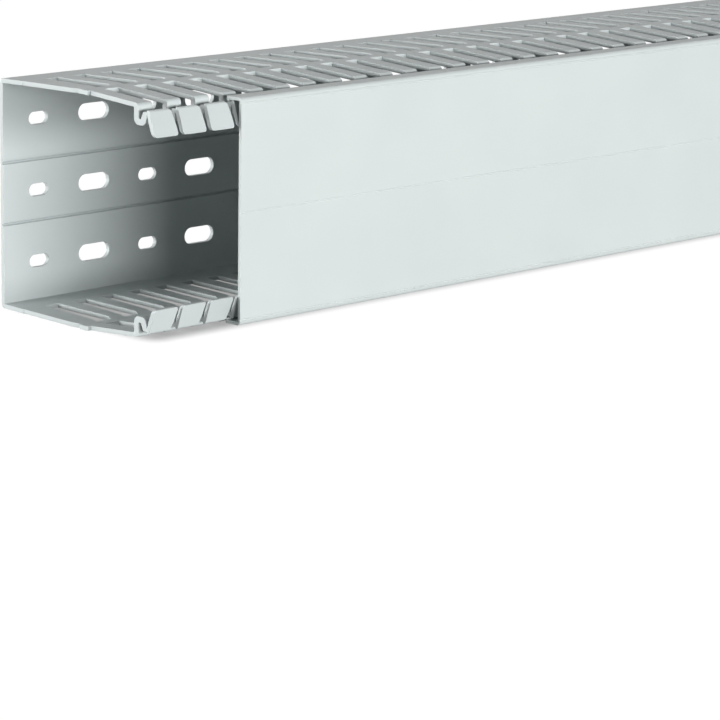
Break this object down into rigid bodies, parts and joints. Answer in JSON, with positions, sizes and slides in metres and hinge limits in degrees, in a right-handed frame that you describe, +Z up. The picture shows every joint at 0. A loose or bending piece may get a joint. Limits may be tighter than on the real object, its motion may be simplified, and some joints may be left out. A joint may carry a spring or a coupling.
{
  "type": "slotted wire duct",
  "caption": "Slotted wire duct: U-shaped base profile with finger walls and folded clips, rows of slotted fixing holes and a flat clip-on cover that slides along it.",
  "frame": {"origin": "centre of the bounding box's bottom face, on the floor under the duct as it lies on its lower side wall", "axes": "+X along the duct, away from the end that the cover leaves open; +Y towards the mounting side (the base's back); +Z up, across the duct's width"},
  "size_m": [0.5376, 0.0804, 0.0816],
  "materials": {
    "duct_plastic": "matt grey rigid plastic",
    "cover_plastic": "smooth matt light grey rigid plastic"
  },
  "bodies": {
    "duct": {"slotted_base": "duct_plastic"},
    "lid": {"cover": "cover_plastic"}
  },
  "joints": [
    {"name": "cover_slide", "type": "slide", "parent": "duct", "child": "lid", "axis": [1, 0, 0], "range_m": [-0.0375, 0.2]}
  ]
}
